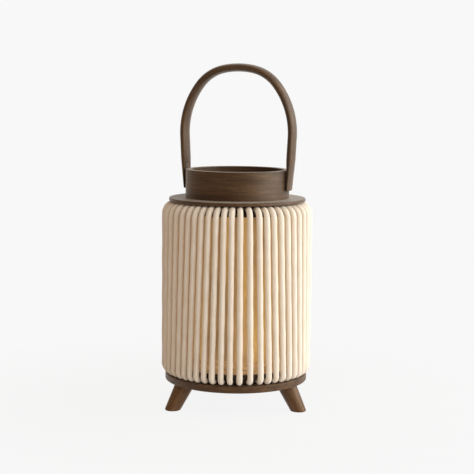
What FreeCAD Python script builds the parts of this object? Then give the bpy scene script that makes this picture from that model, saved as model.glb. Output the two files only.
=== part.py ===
"""Lantern table lamp: rope-clad drum on three splayed legs, wooden collar and swinging bail handle.

Millimetres, +Z up. The origin is on the lamp's axis, on the surface that the legs stand on.
The handle's pivots lie along X. Angles are counted from +X, anticlockwise seen from above.
"""
import FreeCAD, Part
import math
import os

# ---------------------------------------------------------------- driving dimensions

# legs
LEG_COUNT = 3
LEG_FIRST_ANGLE = -12.0
LEG_HEIGHT = 27.2
LEG_SPLAY = 29.8
LEG_INSET = 14.4
LEG_TOP_DIAMETER = 19.6
LEG_FOOT_DIAMETER = 15.1
LEG_FOOT_ROUNDING = 1.5
LEG_STUD_DIAMETER = 5.0
LEG_STUD_LENGTH = 20.0
LEG_STUD_IN_BASE = 5.5

# base disc, set in from the outside of the ropes
BASE_INSET = 4.0
BASE_THICKNESS = 7.6
DISC_EDGE_ROUNDING = 1.0

# rope strands, pinched between the discs and the two hoops
STRAND_COUNT = 52
STRAND_GROUPS = 4
FIRST_STRAND_ANGLE = 0.3
ROPE_DIAMETER = 6.4
DRUM_RADIUS = 80.0
ROPE_LOW_BEND = 5.4
ROPE_HIGH_BEND = 9.8
ROPE_LOW_TAIL = 3.4
ROPE_HIGH_TAIL = 1.5
ROPE_CLEARANCE = 0.2
ROPE_LOW_GAP = 0.1
ROPE_HIGH_GAP = 1.0

# hoops, seat and diffuser
DRUM_HEIGHT = 183.8
LOWER_HOOP_RISE = 2.3
LOWER_HOOP_WALL = 4.8
UPPER_HOOP_SHOULDER = 3.4
UPPER_HOOP_WALL = 8.3
HOOP_LIP_HEIGHT = 6.0
SEAT_ROPE_GAP = 3.2
SEAT_WALL = 5.4
SEAT_HEIGHT = 12.5
SEAT_GROOVE_HEIGHT = 1.3
SEAT_GROOVE_DEPTH = 1.2
DIFFUSER_ROPE_GAP = 3.6
DIFFUSER_WALL = 1.5
DIFFUSER_CLEARANCE = 0.15
DIFFUSER_END_PLAY = 0.1

# top disc, set in from the outside of the ropes, and collar
TOP_DISC_INSET = 7.5
TOP_DISC_THICKNESS = 3.6
COLLAR_RADIUS = 55.0
COLLAR_WALL = 6.0
COLLAR_HEIGHT = 30.0
COLLAR_EDGE_ROUNDING = 0.8
COLLAR_SCREW_COUNT = 4
COLLAR_SCREW_FIRST_ANGLE = 45.0
COLLAR_SCREW_DIAMETER = 3.0
COLLAR_SCREW_LENGTH = 14.0

# tie rods
TIE_ROD_COUNT = 3
TIE_ROD_MODULE_GAP = 1.0
TIE_ROD_DIAMETER = 7.0
TIE_SCREW_DIAMETER = 4.0
TIE_SCREW_IN_ROD = 9.0
THREAD_CLEARANCE = 0.05
SCREW_HOLE_CLEARANCE = 0.2

# bail handle
HANDLE_RISE = 111.1
HANDLE_WIDTH = 19.0
HANDLE_THICKNESS = 8.6
HANDLE_END_THICKNESS = 4.1
HANDLE_STAND_OFF = 4.7
HANDLE_SIDE_GAP = 0.4
HANDLE_LAP = 21.2
HANDLE_REBATE_RADIUS = 17.0
HANDLE_TAPER_LENGTH = 32.0
HANDLE_END_ROUNDING = 2.0
CROWN_RADIUS = 81.0
CROWN_HALF_ANGLE = 11.5
SHOULDER_END_ANGLE = 51.8
SIDE_RADIUS = 82.32
PIVOT_BELOW_RIM = 10.8
PIVOT_STAND_OFF = 2.4
PIVOT_SCREW_DIAMETER = 4.0
PIVOT_RUNNING_CLEARANCE = 0.06
PIVOT_HEAD_DIAMETER = 7.6
PIVOT_HEAD_HEIGHT = 2.2
PIVOT_WASHER_DIAMETER = 10.0
PIVOT_WASHER_THICKNESS = 0.8
PIVOT_AXIAL_PLAY = 0.1
PIVOT_FLAT_DEPTH = 0.5
INSERT_DIAMETER = 5.8
INSERT_LENGTH = 3.0

# light module
MODULE_WALL = 2.0
MODULE_FLOOR = 2.4
MODULE_SHOULDER = 9.5
MODULE_NECK_CLEARANCE = 0.2
MODULE_RECESS = 1.0
MODULE_SCREW_INSET = 5.0
MODULE_SCREW_FIRST_ANGLE = 30.0
MODULE_SCREW_DIAMETER = 2.9
MODULE_SCREW_LENGTH = 8.0
BOSS_RADIUS = 3.0
BOSS_INSET = 6.0
BOSS_FIRST_ANGLE = 90.0
MODULE_FIXING_COUNT = 3
LEDGE_WIDTH = 5.4
LEDGE_BELOW_FLOOR = 1.0
COVER_THICKNESS = 2.5
COVER_CLEARANCE = 0.2
COVER_SCREW_FIRST_ANGLE = 90.0
COVER_SCREW_DIAMETER = 2.0
COVER_SCREW_LENGTH = 6.0
BOARD_THICKNESS = 1.6
BOARD_CLEARANCE = 0.5
PLATE_THICKNESS = 1.5
LED_BOARD_THICKNESS = 1.2
LED_BOARD_CLEARANCE = 1.5
LED_BOARD_BORE_RADIUS = 8.0
LED_COUNT = 12
LED_INSET = 6.0
LED_SIZE = 3.0
LED_HEIGHT = 0.8
DOME_FLANGE_WIDTH = 9.5
DOME_WALL = 1.5
DOME_FLANGE_THICKNESS = 1.5
DOME_STRAIGHT_HEIGHT = 42.0
DOME_SCREW_DIAMETER = 2.5
DOME_SCREW_LENGTH = 10.0

# battery
CELL_DIAMETER = 18.4
CELL_LENGTH = 65.0
CELL_TERMINAL_RADIUS = 2.8
CELL_TERMINAL_HEIGHT = 1.0
CELL_CLEARANCE = 0.2
CELL_END_ROOM = 3.0
CELL_HEADROOM = 1.1
CRADLE_WALL = 1.6
CRADLE_FLOOR = 1.5
CRADLE_LIFT = 1.0
CRADLE_SIDE_HEIGHT = 8.0
CONTACT_THICKNESS = 0.4
CONTACT_WIDTH = 10.0
CONTACT_HEIGHT = 14.0

# button, switch and charging socket
BUTTON_RADIUS = 5.3
BUTTON_CLEARANCE = 0.1
BUTTON_FLANGE_RADIUS = 6.8
BUTTON_FLANGE_THICKNESS = 0.8
BUTTON_PROUD = 0.5
BUTTON_TRAVEL = 0.8
BUTTON_EDGE_ROUNDING = 0.4
SWITCH_SIZE = 6.0
SWITCH_HEIGHT = 3.4
PLUNGER_RADIUS = 1.6
PLUNGER_CLEARANCE = 0.06
SPRING_MEAN_RADIUS = 5.6
SPRING_WIRE = 0.5
SPRING_TURNS = 3.5
SPRING_END_GAP = 0.1
SOCKET_WIDTH = 8.9
SOCKET_DEPTH = 3.3
SOCKET_WALL = 0.3
SOCKET_RECESS = 1.2
SOCKET_LEDGE_INSET = 5.4
SOCKET_SLOT_CLEARANCE = 0.25
SOCKET_BACK = 1.0
TONGUE_WIDTH = 6.6
TONGUE_THICKNESS = 0.7
TONGUE_RECESS = 1.3

# inner leads
LEAD_DIAMETER = 2.0
LEAD_BEND_SHARE = 0.45
LEAD_HOLE_CLEARANCE = 0.5
LEAD_END_GAP = 0.1

# countersunk heads
HEAD_RATIO = 1.9
HEAD_DEPTH_RATIO = 0.55
PAN_HEAD_RATIO = 1.9
PAN_HEIGHT_RATIO = 0.6
DRIVE_RATIO = 0.5
DRIVE_DEPTH_RATIO = 0.35

# ---------------------------------------------------------------- derived places

ROPE_RADIUS = ROPE_DIAMETER / 2
STRAND_LINE_RADIUS = DRUM_RADIUS - ROPE_RADIUS
STRAND_INNER_RADIUS = DRUM_RADIUS - ROPE_DIAMETER
STRAND_PITCH = 360.0 / STRAND_COUNT

BASE_RADIUS = DRUM_RADIUS - BASE_INSET
BASE_LOW = LEG_HEIGHT
BASE_TOP = BASE_LOW + BASE_THICKNESS
LEG_TOP_RADIUS = BASE_RADIUS - LEG_INSET
TOP_DISC_RADIUS = DRUM_RADIUS - TOP_DISC_INSET
DISC_LOW = BASE_TOP + DRUM_HEIGHT
DISC_TOP = DISC_LOW + TOP_DISC_THICKNESS
RIM_Z = DISC_TOP + COLLAR_HEIGHT

LOW_BEND_Z = BASE_TOP + ROPE_LOW_GAP + ROPE_RADIUS + ROPE_LOW_BEND
LOW_BEND_R = STRAND_LINE_RADIUS - ROPE_LOW_BEND
HIGH_BEND_Z = DISC_LOW - ROPE_HIGH_GAP - ROPE_RADIUS - ROPE_HIGH_BEND
HIGH_BEND_R = STRAND_LINE_RADIUS - ROPE_HIGH_BEND

LOWER_HOOP_HUB = LOW_BEND_R - ROPE_LOW_TAIL - ROPE_CLEARANCE
LOWER_HOOP_BORE = LOWER_HOOP_HUB - LOWER_HOOP_WALL
LOWER_HOOP_TOP = LOW_BEND_Z + LOWER_HOOP_RISE
UPPER_HOOP_HUB = HIGH_BEND_R - ROPE_HIGH_TAIL - ROPE_CLEARANCE
UPPER_HOOP_BORE = UPPER_HOOP_HUB - UPPER_HOOP_WALL
UPPER_HOOP_LOW = HIGH_BEND_Z + UPPER_HOOP_SHOULDER
SEAT_RADIUS = STRAND_INNER_RADIUS - SEAT_ROPE_GAP
SEAT_BORE = SEAT_RADIUS - SEAT_WALL
SEAT_TOP = LOWER_HOOP_TOP + SEAT_HEIGHT
DIFFUSER_RADIUS = STRAND_INNER_RADIUS - DIFFUSER_ROPE_GAP
DIFFUSER_LOW = SEAT_TOP + SEAT_GROOVE_HEIGHT
DIFFUSER_HIGH = UPPER_HOOP_LOW - DIFFUSER_END_PLAY
LIP_RADIUS = DIFFUSER_RADIUS - DIFFUSER_WALL - DIFFUSER_CLEARANCE

COLLAR_BORE = COLLAR_RADIUS - COLLAR_WALL
PIVOT_Z = RIM_Z - PIVOT_BELOW_RIM
HANDLE_FACE_X = COLLAR_RADIUS + HANDLE_SIDE_GAP
STRAP_FLAT_X = HANDLE_FACE_X + PIVOT_FLAT_DEPTH
OUTER_FLAT_X = COLLAR_RADIUS - PIVOT_FLAT_DEPTH
INNER_FLAT_X = COLLAR_BORE + PIVOT_FLAT_DEPTH
HEAD_SEAT_X = INNER_FLAT_X - PIVOT_WASHER_THICKNESS - PIVOT_AXIAL_PLAY

CELL_ROOM = CELL_LENGTH + 2 * CONTACT_THICKNESS + 2 * CELL_CLEARANCE
CRADLE_WIDTH = CELL_DIAMETER + 2 * CELL_CLEARANCE + 2 * CRADLE_WALL
MODULE_BORE = CELL_LENGTH / 2 + CELL_END_ROOM
MODULE_RADIUS = MODULE_BORE + MODULE_WALL
MODULE_HOLE_RADIUS = MODULE_RADIUS - MODULE_SHOULDER
MODULE_SCREW_CIRCLE_RADIUS = MODULE_RADIUS - MODULE_SCREW_INSET
BOSS_CIRCLE_RADIUS = MODULE_RADIUS - BOSS_INSET
NECK_RADIUS = MODULE_HOLE_RADIUS - MODULE_NECK_CLEARANCE
NECK_BORE = NECK_RADIUS - MODULE_WALL
NECK_LOW = BASE_LOW + MODULE_RECESS
MODULE_FLOOR_TOP = BASE_TOP + MODULE_FLOOR
LEDGE_RADIUS = NECK_BORE - LEDGE_WIDTH
LEDGE_TOP = MODULE_FLOOR_TOP - LEDGE_BELOW_FLOOR
COVER_TOP = NECK_LOW + COVER_THICKNESS
COVER_SCREW_RADIUS = NECK_BORE - LEDGE_WIDTH / 2
BOARD_TOP = LEDGE_TOP + BOARD_THICKNESS
CRADLE_LOW = BOARD_TOP + CRADLE_LIFT
CELL_Z = CRADLE_LOW + CRADLE_FLOOR + CELL_CLEARANCE + CELL_DIAMETER / 2
MODULE_TOP = CELL_Z + CELL_DIAMETER / 2 + CELL_HEADROOM
TIE_ROD_CIRCLE_RADIUS = MODULE_RADIUS + TIE_ROD_MODULE_GAP + TIE_ROD_DIAMETER / 2

PLATE_TOP = MODULE_TOP + PLATE_THICKNESS
LED_BOARD_TOP = PLATE_TOP + LED_BOARD_THICKNESS
DOME_RADIUS = MODULE_RADIUS - DOME_FLANGE_WIDTH
DOME_BORE = DOME_RADIUS - DOME_WALL
LED_BOARD_RADIUS = DOME_BORE - LED_BOARD_CLEARANCE
LED_CIRCLE_RADIUS = LED_BOARD_RADIUS - LED_INSET
BUTTON_FLANGE_LOW = COVER_TOP + BUTTON_CLEARANCE
BUTTON_FLANGE_TOP = BUTTON_FLANGE_LOW + BUTTON_FLANGE_THICKNESS
SWITCH_LOW = LEDGE_TOP - SWITCH_HEIGHT
SOCKET_MOUTH = NECK_LOW + SOCKET_RECESS
SOCKET_OFFSET = LEDGE_RADIUS - SOCKET_LEDGE_INSET
END_STEPS = 4
UP = FreeCAD.Vector(0, 0, 1)
DOWN = FreeCAD.Vector(0, 0, -1)
AXIS_ORIGIN = FreeCAD.Vector(0, 0, 0)


# ---------------------------------------------------------------- helpers

def at(radius, angle, z):
    """A point given by its radius, its angle in degrees and its height."""
    turn = math.radians(angle)
    return FreeCAD.Vector(radius * math.cos(turn), radius * math.sin(turn), z)


def angles(count, first):
    """Evenly spaced angles round the axis, from the first one."""
    return [first + 360.0 * index / count for index in range(count)]


def rod(radius, start, length, direction=UP):
    """A plain cylinder from a start point along a direction."""
    return Part.makeCylinder(radius, length, start, direction)


def line(start, end):
    """A straight edge between two points of the XZ plane, given as (radius, height)."""
    return Part.LineSegment(FreeCAD.Vector(start[0], 0, start[1]),
                            FreeCAD.Vector(end[0], 0, end[1])).toShape()


def arc(centre, radius, first, last):
    """An arc in the XZ plane about (radius, height), between two angles in degrees."""
    points = []
    for angle in (first, (first + last) / 2, last):
        turn = math.radians(angle)
        points.append(FreeCAD.Vector(centre[0] + radius * math.cos(turn), 0,
                                     centre[1] + radius * math.sin(turn)))
    return Part.Arc(*points).toShape()


def turned(edges):
    """A solid of revolution about Z from the closed chain of edges of its section."""
    face = Part.Face(Part.Wire(edges))
    return face.revolve(AXIS_ORIGIN, UP, 360)


def turned_polygon(corners):
    """A solid of revolution about Z from the corners of its section."""
    closed = corners + corners[:1]
    return turned([line(closed[i], closed[i + 1]) for i in range(len(corners))])


def ring(outer, inner, low, high):
    """A plain ring about Z."""
    return turned_polygon([(inner, low), (outer, low), (outer, high), (inner, high)])


def disc(radius, low, high):
    """A plain disc about Z."""
    return rod(radius, FreeCAD.Vector(0, 0, low), high - low)


def circle_edges(shape, radius, z):
    """The circular edges of a turned shape at one radius and height."""
    found = []
    for edge in shape.Edges:
        if not isinstance(edge.Curve, Part.Circle):
            continue
        same_radius = abs(edge.Curve.Radius - radius) < 1e-6
        same_height = abs(edge.Curve.Center.z - z) < 1e-6
        if same_radius and same_height:
            found.append(edge)
    return found


def rounded_disc(radius, low, high, rounding):
    """A disc with both rim edges rounded."""
    plain = disc(radius, low, high)
    edges = circle_edges(plain, radius, low) + circle_edges(plain, radius, high)
    return plain.makeFillet(rounding, edges)


def countersunk_screw(diameter, length, seat, direction):
    """A countersunk screw: seat is the centre of its flat head face, direction its way in."""
    head_depth = diameter * HEAD_DEPTH_RATIO
    head = Part.makeCone(diameter * HEAD_RATIO / 2, diameter / 2, head_depth, seat, direction)
    shank = rod(diameter / 2, seat, length, direction)
    drive = rod(diameter * DRIVE_RATIO / 2, seat, diameter * DRIVE_DEPTH_RATIO, direction)
    return head.fuse(shank).cut(drive).removeSplitter()


def countersunk_hole(diameter, length, seat, direction):
    """The clearance cut for a countersunk screw, through the piece its head sits in."""
    wide = diameter + 2 * SCREW_HOLE_CLEARANCE
    head_radius = diameter * HEAD_RATIO / 2 + SCREW_HOLE_CLEARANCE
    head = Part.makeCone(head_radius, wide / 2, diameter * HEAD_DEPTH_RATIO, seat, direction)
    return head.fuse(rod(wide / 2, seat, length, direction))


def pan_screw(diameter, length, seat, direction):
    """A pan-head screw: seat is the centre of its head's bearing face, direction its way in."""
    height = diameter * PAN_HEIGHT_RATIO
    back = seat - direction * height
    head = rod(diameter * PAN_HEAD_RATIO / 2, back, height, direction)
    shank = rod(diameter / 2, seat, length, direction)
    drive = rod(diameter * DRIVE_RATIO / 2, back, diameter * DRIVE_DEPTH_RATIO, direction)
    return head.fuse(shank).cut(drive).removeSplitter()


def thread_hole(diameter, length, start, direction):
    """A hole that a screw's thread fills, with the thread clearance all round."""
    return rod(diameter / 2 + THREAD_CLEARANCE, start, length + THREAD_CLEARANCE, direction)


def swept(path_edges, start, direction, radius):
    """A round tube along a chain of edges."""
    wire = Part.Wire(path_edges)
    section = Part.Wire(Part.makeCircle(radius, start, direction))
    return wire.makePipeShell([section], True, False)


def turn_about_axis(shape, angle):
    """A copy of the shape turned about the lamp's axis."""
    copy = shape.copy()
    copy.rotate(AXIS_ORIGIN, UP, angle)
    return copy


# ---------------------------------------------------------------- legs and base

def leg_direction(angle):
    """The way a leg runs, down and outwards."""
    splay = math.radians(LEG_SPLAY)
    return at(math.sin(splay), angle, -math.cos(splay))


def make_leg(angle):
    """A tapered round leg, cut level at the base disc and at the floor."""
    direction = leg_direction(angle)
    top = at(LEG_TOP_RADIUS, angle, LEG_HEIGHT)
    length = LEG_HEIGHT / math.cos(math.radians(LEG_SPLAY))
    spare = LEG_TOP_DIAMETER
    taper = (LEG_TOP_DIAMETER - LEG_FOOT_DIAMETER) / 2 / length
    start = top - direction * spare
    cone = Part.makeCone(LEG_TOP_DIAMETER / 2 + taper * spare, LEG_FOOT_DIAMETER / 2 - taper * spare,
                         length + 2 * spare, start, direction)
    slab = disc(LEG_TOP_RADIUS * 2, 0, LEG_HEIGHT)
    leg = cone.common(slab)
    foot_edges = [edge for edge in leg.Edges if abs(edge.CenterOfMass.z) < 1e-3]
    leg = leg.makeFillet(LEG_FOOT_ROUNDING, foot_edges)
    return leg.cut(leg_stud_hole(angle))


def leg_stud_start(angle):
    """The upper end of a leg's stud, inside the base disc."""
    return at(LEG_TOP_RADIUS, angle, LEG_HEIGHT) - leg_direction(angle) * LEG_STUD_IN_BASE


def make_leg_stud(angle):
    return rod(LEG_STUD_DIAMETER / 2, leg_stud_start(angle), LEG_STUD_LENGTH, leg_direction(angle))


def leg_stud_hole(angle):
    direction = leg_direction(angle)
    start = leg_stud_start(angle) - direction * THREAD_CLEARANCE
    return thread_hole(LEG_STUD_DIAMETER, LEG_STUD_LENGTH + THREAD_CLEARANCE, start, direction)


def make_base_disc():
    """The base disc, with the light module's hole and every screw's hole."""
    base = rounded_disc(BASE_RADIUS, BASE_LOW, BASE_TOP, DISC_EDGE_ROUNDING)
    tools = [disc(MODULE_HOLE_RADIUS, BASE_LOW - 1, BASE_TOP + 1)]
    for angle in LEG_ANGLES:
        tools.append(leg_stud_hole(angle))
    for angle in TIE_ROD_ANGLES:
        seat = at(TIE_ROD_CIRCLE_RADIUS, angle, BASE_LOW)
        tools.append(countersunk_hole(TIE_SCREW_DIAMETER, BASE_THICKNESS, seat, UP))
    for angle in MODULE_SCREW_ANGLES:
        start = at(MODULE_SCREW_CIRCLE_RADIUS, angle, BASE_TOP)
        depth = MODULE_SCREW_LENGTH - MODULE_FLOOR
        tools.append(thread_hole(MODULE_SCREW_DIAMETER, depth, start, DOWN))
    return base.cut(tools)


# ---------------------------------------------------------------- drum

def make_lower_hoop():
    """The lower hoop: the strands' ends tuck under its rounded flange, against its hub."""
    hub = LOWER_HOOP_HUB
    inner = LOWER_HOOP_BORE
    bend = ROPE_LOW_BEND - ROPE_RADIUS - ROPE_CLEARANCE
    under = LOW_BEND_Z - bend
    outer = LOW_BEND_R + bend
    return turned([
        line((inner, BASE_TOP), (hub, BASE_TOP)),
        line((hub, BASE_TOP), (hub, under)),
        line((hub, under), (LOW_BEND_R, under)),
        arc((LOW_BEND_R, LOW_BEND_Z), bend, -90, 0),
        line((outer, LOW_BEND_Z), (outer, LOWER_HOOP_TOP)),
        line((outer, LOWER_HOOP_TOP), (inner, LOWER_HOOP_TOP)),
        line((inner, LOWER_HOOP_TOP), (inner, BASE_TOP)),
    ])


def make_upper_hoop():
    """The upper hoop: a rounded shoulder for the strands, and a lip inside the diffuser."""
    hub = UPPER_HOOP_HUB
    bend = ROPE_HIGH_BEND - ROPE_RADIUS - ROPE_CLEARANCE
    low_angle = math.degrees(math.asin(UPPER_HOOP_SHOULDER / bend))
    low_radius = HIGH_BEND_R + bend * math.cos(math.radians(low_angle))
    step = HIGH_BEND_Z + bend
    lip_low = UPPER_HOOP_LOW - HOOP_LIP_HEIGHT
    inner = UPPER_HOOP_BORE
    return turned([
        line((inner, lip_low), (LIP_RADIUS, lip_low)),
        line((LIP_RADIUS, lip_low), (LIP_RADIUS, UPPER_HOOP_LOW)),
        line((LIP_RADIUS, UPPER_HOOP_LOW), (low_radius, UPPER_HOOP_LOW)),
        arc((HIGH_BEND_R, HIGH_BEND_Z), bend, low_angle, 90),
        line((HIGH_BEND_R, step), (hub, step)),
        line((hub, step), (hub, DISC_LOW)),
        line((hub, DISC_LOW), (inner, DISC_LOW)),
        line((inner, DISC_LOW), (inner, lip_low)),
    ])


def make_seat_ring():
    """The pale seat ring under the diffuser, grooved below the diffuser's edge."""
    neck = SEAT_RADIUS - SEAT_GROOVE_DEPTH
    return turned_polygon([
        (SEAT_BORE, LOWER_HOOP_TOP),
        (SEAT_RADIUS, LOWER_HOOP_TOP),
        (SEAT_RADIUS, SEAT_TOP),
        (neck, SEAT_TOP),
        (neck, DIFFUSER_LOW),
        (LIP_RADIUS, DIFFUSER_LOW),
        (LIP_RADIUS, DIFFUSER_LOW + HOOP_LIP_HEIGHT),
        (SEAT_BORE, DIFFUSER_LOW + HOOP_LIP_HEIGHT),
    ])


def make_diffuser():
    return ring(DIFFUSER_RADIUS, DIFFUSER_RADIUS - DIFFUSER_WALL, DIFFUSER_LOW, DIFFUSER_HIGH)


def make_strand():
    """One strand in the XZ plane: tucked in below, straight up outside, bent in at the top."""
    low_z = LOW_BEND_Z - ROPE_LOW_BEND
    high_z = HIGH_BEND_Z + ROPE_HIGH_BEND
    low_end = LOW_BEND_R - ROPE_LOW_TAIL
    high_end = HIGH_BEND_R - ROPE_HIGH_TAIL
    path = [
        line((low_end, low_z), (LOW_BEND_R, low_z)),
        arc((LOW_BEND_R, LOW_BEND_Z), ROPE_LOW_BEND, -90, 0),
        line((STRAND_LINE_RADIUS, LOW_BEND_Z), (STRAND_LINE_RADIUS, HIGH_BEND_Z)),
        arc((HIGH_BEND_R, HIGH_BEND_Z), ROPE_HIGH_BEND, 0, 90),
        line((HIGH_BEND_R, high_z), (high_end, high_z)),
    ]
    return swept(path, FreeCAD.Vector(low_end, 0, low_z), FreeCAD.Vector(1, 0, 0), ROPE_RADIUS)


def make_strand_groups():
    """The strands, in equal groups of neighbours."""
    strand = make_strand()
    group_size = STRAND_COUNT // STRAND_GROUPS
    groups = {}
    for group in range(STRAND_GROUPS):
        members = []
        for index in range(group * group_size, (group + 1) * group_size):
            members.append(turn_about_axis(strand, FIRST_STRAND_ANGLE + index * STRAND_PITCH))
        groups["rope_strands_%d" % (group + 1)] = Part.makeCompound(members)
    return groups


# ---------------------------------------------------------------- tie rods, top disc, collar

def make_tie_rod(angle):
    """A tie rod between the discs, tapped at both ends."""
    low = at(TIE_ROD_CIRCLE_RADIUS, angle, BASE_TOP)
    high = at(TIE_ROD_CIRCLE_RADIUS, angle, DISC_LOW)
    return rod(TIE_ROD_DIAMETER / 2, low, DRUM_HEIGHT).cut([
        thread_hole(TIE_SCREW_DIAMETER, TIE_SCREW_IN_ROD, low, UP),
        thread_hole(TIE_SCREW_DIAMETER, TIE_SCREW_IN_ROD, high, DOWN),
    ])


def make_lower_tie_screw(angle):
    seat = at(TIE_ROD_CIRCLE_RADIUS, angle, BASE_LOW)
    return countersunk_screw(TIE_SCREW_DIAMETER, BASE_THICKNESS + TIE_SCREW_IN_ROD, seat, UP)


def make_upper_tie_screw(angle):
    seat = at(TIE_ROD_CIRCLE_RADIUS, angle, DISC_TOP)
    return countersunk_screw(TIE_SCREW_DIAMETER, TOP_DISC_THICKNESS + TIE_SCREW_IN_ROD, seat, DOWN)


def collar_screw_seat(angle):
    return at(COLLAR_RADIUS - COLLAR_WALL / 2, angle, DISC_LOW)


def make_top_disc():
    top = rounded_disc(TOP_DISC_RADIUS, DISC_LOW, DISC_TOP, DISC_EDGE_ROUNDING)
    tools = []
    for angle in TIE_ROD_ANGLES:
        seat = at(TIE_ROD_CIRCLE_RADIUS, angle, DISC_TOP)
        tools.append(countersunk_hole(TIE_SCREW_DIAMETER, TOP_DISC_THICKNESS, seat, DOWN))
    for angle in COLLAR_SCREW_ANGLES:
        seat = collar_screw_seat(angle)
        tools.append(countersunk_hole(COLLAR_SCREW_DIAMETER, TOP_DISC_THICKNESS, seat, UP))
    return top.cut(tools)


def make_collar():
    """The open collar, with flats and a bore at each pivot."""
    collar = ring(COLLAR_RADIUS, COLLAR_BORE, DISC_TOP, RIM_Z)
    rim = circle_edges(collar, COLLAR_RADIUS, RIM_Z) + circle_edges(collar, COLLAR_BORE, RIM_Z)
    collar = collar.makeFillet(COLLAR_EDGE_ROUNDING, rim)
    tools = []
    flat_radius = PIVOT_WASHER_DIAMETER / 2 + SCREW_HOLE_CLEARANCE
    bore_radius = PIVOT_SCREW_DIAMETER / 2 + PIVOT_RUNNING_CLEARANCE
    for side in (-1, 1):
        outward = FreeCAD.Vector(side, 0, 0)
        reach = PIVOT_WASHER_DIAMETER
        inner_start = FreeCAD.Vector(side * (INNER_FLAT_X - reach), 0, PIVOT_Z)
        outer_start = FreeCAD.Vector(side * OUTER_FLAT_X, 0, PIVOT_Z)
        tools.append(rod(flat_radius, inner_start, reach, outward))
        tools.append(rod(flat_radius, outer_start, reach, outward))
        tools.append(rod(bore_radius, inner_start, 2 * reach, outward))
    for angle in COLLAR_SCREW_ANGLES:
        start = collar_screw_seat(angle)
        tools.append(thread_hole(COLLAR_SCREW_DIAMETER, COLLAR_SCREW_LENGTH, start, UP))
    return collar.cut(tools)


# ---------------------------------------------------------------- handle

def handle_arcs():
    """The right half of the strap's centre line as arcs, each (centre, radius, first, last),
    with angles counted from +Z. The shoulder's radius makes up the strap's width, and the last
    arc ends where the straight arm leaves it."""
    crown = math.radians(CROWN_HALF_ANGLE)
    shoulder = math.radians(SHOULDER_END_ANGLE)
    widest_x = COLLAR_RADIUS + HANDLE_STAND_OFF
    crown_share = CROWN_RADIUS * math.sin(crown)
    side_share = SIDE_RADIUS * (1 - math.sin(shoulder))
    turn_share = math.sin(shoulder) - math.sin(crown)
    shoulder_radius = (widest_x - crown_share - side_share) / turn_share
    crown_z = RIM_Z + HANDLE_RISE - HANDLE_THICKNESS / 2
    crown_centre = FreeCAD.Vector(0, 0, crown_z - CROWN_RADIUS)
    shoulder_centre = crown_centre + leaning(crown) * (CROWN_RADIUS - shoulder_radius)
    side_centre = shoulder_centre + leaning(shoulder) * (shoulder_radius - SIDE_RADIUS)
    reach = FreeCAD.Vector(COLLAR_RADIUS + PIVOT_STAND_OFF, 0, PIVOT_Z) - side_centre
    leave = math.atan2(reach.x, reach.z) - math.acos(SIDE_RADIUS / reach.Length)
    return [(crown_centre, CROWN_RADIUS, 0.0, crown),
            (shoulder_centre, shoulder_radius, crown, shoulder),
            (side_centre, SIDE_RADIUS, shoulder, leave)]


def leaning(lean):
    """The unit direction in the XZ plane that leans from +Z towards +X."""
    return FreeCAD.Vector(math.sin(lean), 0, math.cos(lean))


def mirrored(points):
    """The points on the other side of the handle, in the opposite order."""
    return [FreeCAD.Vector(-point.x, point.y, point.z) for point in reversed(points)]


def edge_through(points):
    """A straight edge through two points, or an arc through three."""
    curve = Part.Arc if len(points) == 3 else Part.LineSegment
    return curve(*points).toShape()


def handle_section(centre, lean, thickness, inset=0.0):
    """The strap's oval section, square to the strap, drawn in by the inset."""
    across = centre + FreeCAD.Vector(0, HANDLE_WIDTH / 2 - inset, 0)
    through = centre + leaning(lean) * (thickness / 2 - inset)
    return Part.Wire(Part.Ellipse(across, through, centre).toShape())


def make_handle_end(start, lean):
    """A tapered, round-cornered end of the strap, ruled through oval sections."""
    down = leaning(lean + math.copysign(math.pi / 2, lean))
    sections = [handle_section(start, lean, HANDLE_THICKNESS)]
    for step in range(END_STEPS + 1):
        turn = math.pi / 2 * step / END_STEPS
        place = HANDLE_TAPER_LENGTH - HANDLE_END_ROUNDING * (1 - math.sin(turn))
        inset = HANDLE_END_ROUNDING / 2 * (1 - math.cos(turn))
        tapered = place / HANDLE_TAPER_LENGTH
        thickness = HANDLE_THICKNESS - (HANDLE_THICKNESS - HANDLE_END_THICKNESS) * tapered
        sections.append(handle_section(start + down * place, lean, thickness, inset))
    return Part.makeLoft(sections, True, True)


def make_handle_strap():
    """The bent strap with its two tapered ends. The ends are rebated round the pivots,
    with a flat and an insert's hole in each."""
    arcs = handle_arcs()
    runs = []
    for centre, radius, first, last in arcs:
        leans = (first, (first + last) / 2, last)
        runs.append([centre + leaning(lean) * radius for lean in leans])
    crown = runs[0][::2]
    arm_top = runs[-1][-1]
    lean = arcs[-1][-1]
    down = leaning(lean + math.pi / 2)
    arm_length = (arm_top.z - RIM_Z + HANDLE_LAP) / -down.z
    taper_start = arm_top + down * (arm_length - HANDLE_TAPER_LENGTH)
    runs = runs[1:] + [[arm_top, taper_start]]
    path = [edge_through(mirrored(run)) for run in reversed(runs)]
    path.append(edge_through(mirrored(crown[1:]) + crown))
    path += [edge_through(run) for run in runs]
    left_start = mirrored([taper_start])[0]
    section = handle_section(left_start, -lean, HANDLE_THICKNESS)
    strap = Part.Wire(path).makePipeShell([section], True, False)
    strap = strap.fuse([make_handle_end(taper_start, lean), make_handle_end(left_start, -lean)])
    flat_radius = PIVOT_WASHER_DIAMETER / 2 + SCREW_HOLE_CLEARANCE
    for side in (-1, 1):
        outward = FreeCAD.Vector(side, 0, 0)
        inside = FreeCAD.Vector(side * COLLAR_BORE, 0, PIVOT_Z)
        face = FreeCAD.Vector(side * STRAP_FLAT_X, 0, PIVOT_Z)
        strap = strap.cut(rod(HANDLE_REBATE_RADIUS, inside, HANDLE_FACE_X - COLLAR_BORE, outward))
        strap = strap.cut(rod(flat_radius, inside, STRAP_FLAT_X - COLLAR_BORE, outward))
        strap = strap.cut(rod(INSERT_DIAMETER / 2 + THREAD_CLEARANCE, face,
                              INSERT_LENGTH + THREAD_CLEARANCE, outward))
    return strap


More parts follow.
